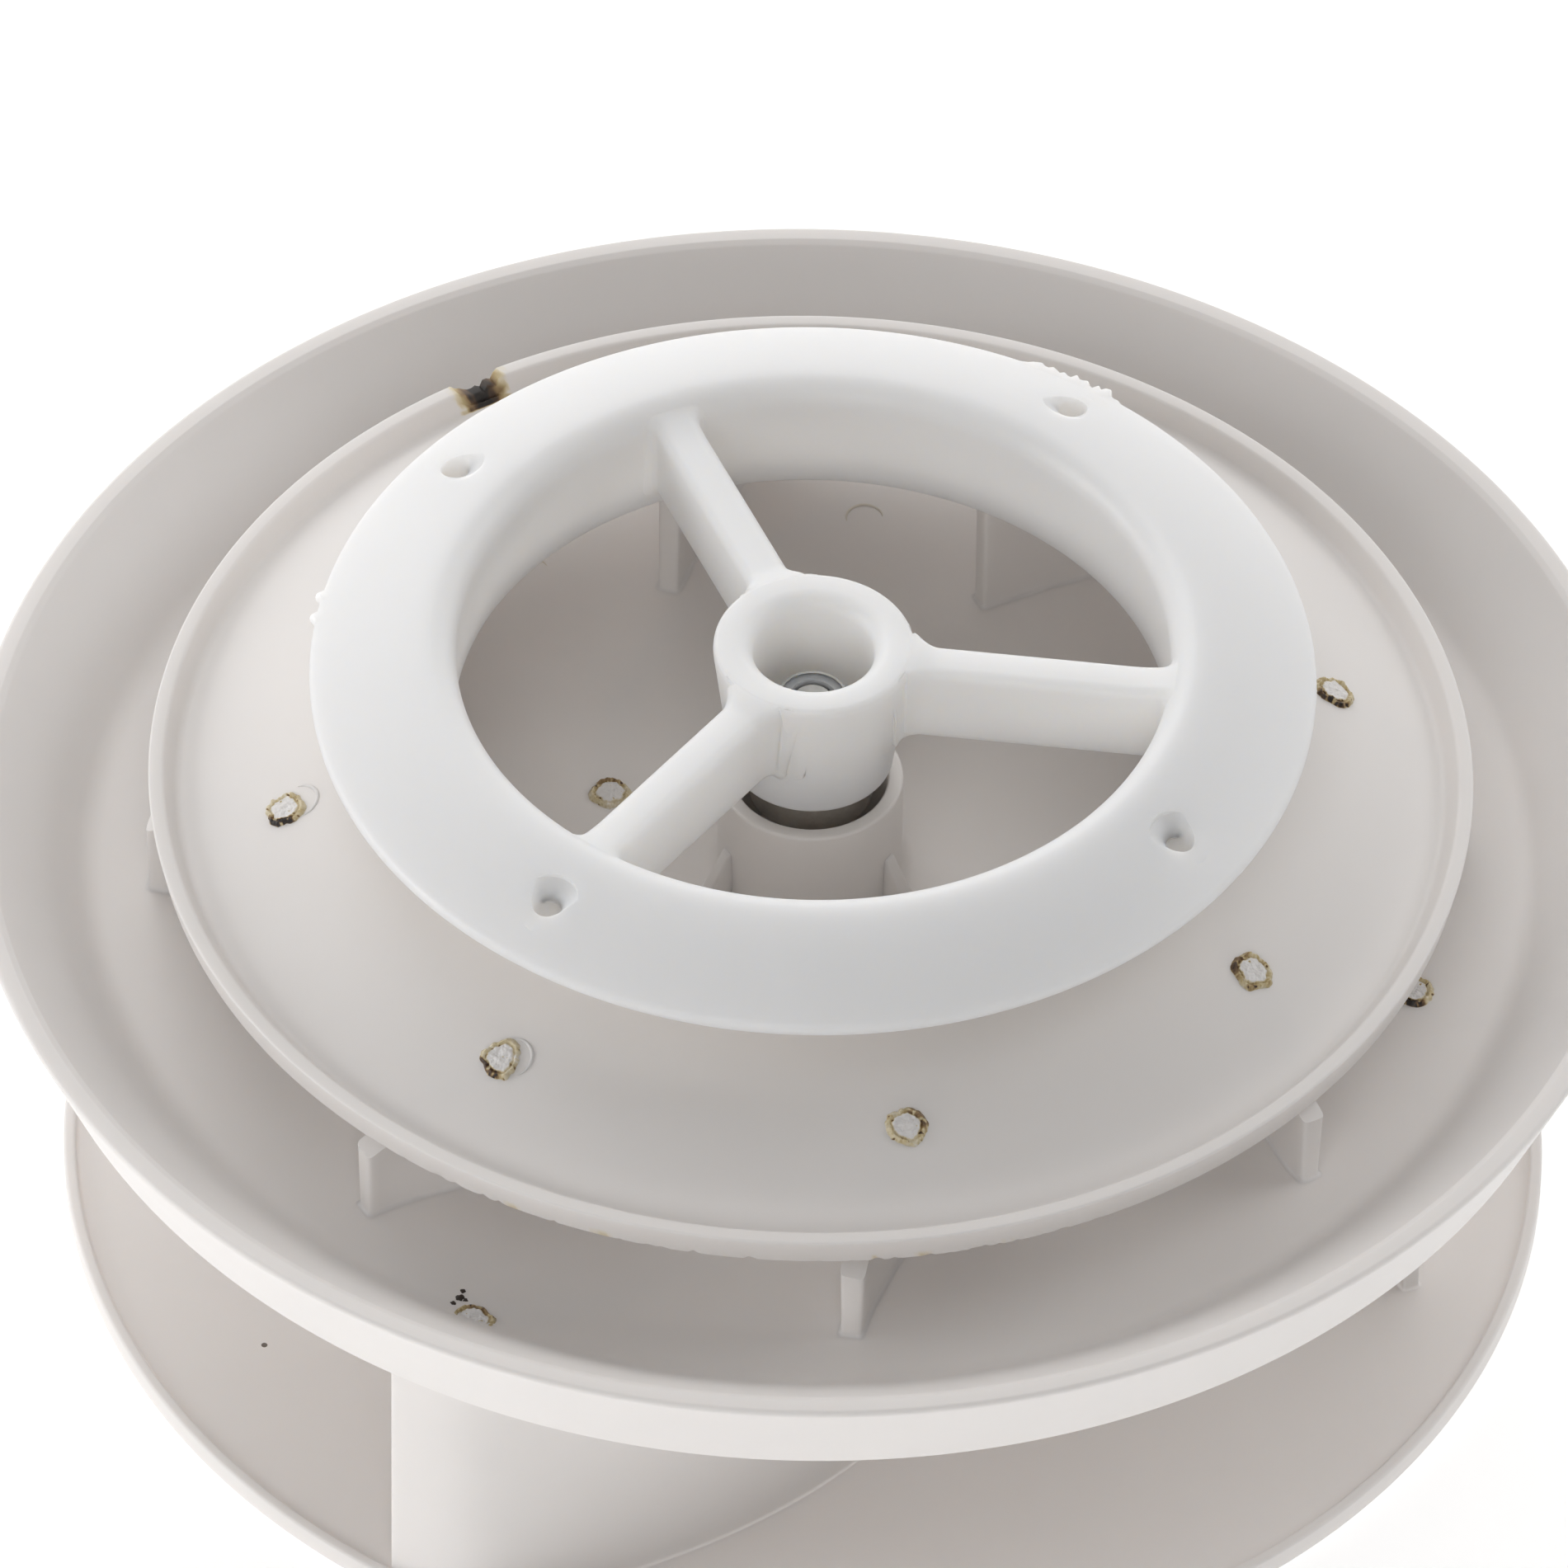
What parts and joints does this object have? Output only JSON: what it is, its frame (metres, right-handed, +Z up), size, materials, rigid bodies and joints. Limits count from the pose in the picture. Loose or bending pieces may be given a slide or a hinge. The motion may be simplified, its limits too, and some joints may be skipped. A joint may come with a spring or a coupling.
{
  "type": "ceiling air diffuser",
  "caption": "Round self-rotating ceiling air diffuser: fixed inlet ring with a spoked hub, and a vaned rotor that turns on ball bearings below it.",
  "frame": {"origin": "centre of the ceiling screw circle, on the plane of the four screw pads", "axes": "+Z up the duct along the rotor's axis; a standing viewer looks along +Y, with +X to the right"},
  "size_m": [0.3, 0.3, 0.1279],
  "materials": {
    "inlet_nylon": "milky translucent nylon with a soft sheen",
    "rotor_abs": "white moulded ABS, satin, with scuffs and burnt weld heads",
    "bearing_steel": "ground bearing steel",
    "zinc_steel": "zinc-plated steel"
  },
  "bodies": {
    "inlet": {"inlet_ring": "inlet_nylon", "spoke_1": "inlet_nylon", "spoke_2": "inlet_nylon", "spoke_3": "inlet_nylon", "hub": "inlet_nylon", "upper_outer_race": "bearing_steel", "lower_outer_race": "bearing_steel", "upper_shields": "bearing_steel", "lower_shields": "bearing_steel"},
    "rotor": {"dish": "rotor_abs", "shroud": "rotor_abs", "bottom_plate": "rotor_abs", "upper_vane_1": "rotor_abs", "upper_vane_2": "rotor_abs", "upper_vane_3": "rotor_abs", "upper_vane_4": "rotor_abs", "upper_vane_5": "rotor_abs", "upper_vane_6": "rotor_abs", "upper_vane_7": "rotor_abs", "upper_vane_8": "rotor_abs", "lower_vane_1": "rotor_abs", "lower_vane_2": "rotor_abs", "lower_vane_3": "rotor_abs", "lower_vane_4": "rotor_abs", "spindle_bolt": "zinc_steel", "spindle_nut": "zinc_steel", "nut_insert": "inlet_nylon", "nut_washer": "zinc_steel", "head_washer": "zinc_steel", "upper_inner_race": "bearing_steel", "lower_inner_race": "bearing_steel"},
    "upper_ball_set": {"upper_balls": "bearing_steel", "upper_cage": "zinc_steel"},
    "lower_ball_set": {"lower_balls": "bearing_steel", "lower_cage": "zinc_steel"}
  },
  "joints": [
    {"name": "rotor_spin", "type": "hinge", "parent": "inlet", "child": "rotor", "pos_m": [0, 0, -0.025], "axis": [0, 0, 1], "continuous": true},
    {"name": "upper_balls_orbit", "type": "hinge", "parent": "inlet", "child": "upper_ball_set", "pos_m": [0, 0, -0.0215], "axis": [0, 0, 1], "continuous": true},
    {"name": "lower_balls_orbit", "type": "hinge", "parent": "inlet", "child": "lower_ball_set", "pos_m": [0, 0, -0.0285], "axis": [0, 0, 1], "continuous": true}
  ],
  "couplings": [
    {"joint": "upper_balls_orbit", "follows": "rotor_spin", "ratio": 0.3677},
    {"joint": "lower_balls_orbit", "follows": "rotor_spin", "ratio": 0.3677}
  ]
}
